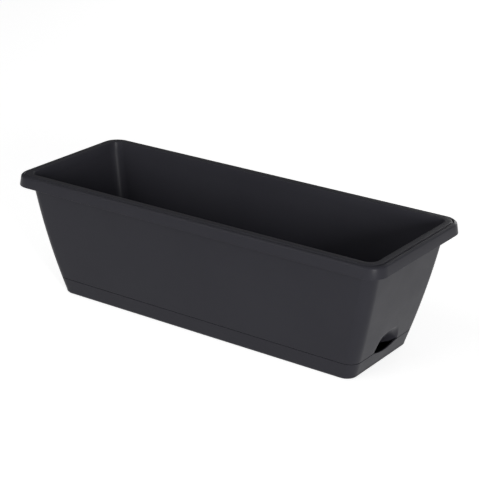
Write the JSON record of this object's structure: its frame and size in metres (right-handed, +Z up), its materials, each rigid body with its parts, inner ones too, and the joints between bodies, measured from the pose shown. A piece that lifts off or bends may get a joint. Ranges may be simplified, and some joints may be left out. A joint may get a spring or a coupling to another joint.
{
  "type": "window box planter",
  "caption": "Long tapered planter trough with a rolled rim, standing in a flush saucer that is filled through a scoop in one end wall.",
  "frame": {"origin": "middle of the base, on the floor", "axes": "+X along the planter towards the watering scoop, -Y the long front side, +Z up"},
  "size_m": [0.5, 0.188, 0.15],
  "materials": {
    "saucer_plastic": "fine moulded texture, dull",
    "trough_plastic": "fine moulded texture, dull"
  },
  "bodies": {
    "saucer_body": {"saucer": "saucer_plastic"},
    "trough_body": {"trough": "trough_plastic"}
  },
  "joints": [
    {"name": "trough_lift", "type": "slide", "parent": "saucer_body", "child": "trough_body", "axis": [0, 0, 1], "range_m": [0, 0.06]}
  ]
}
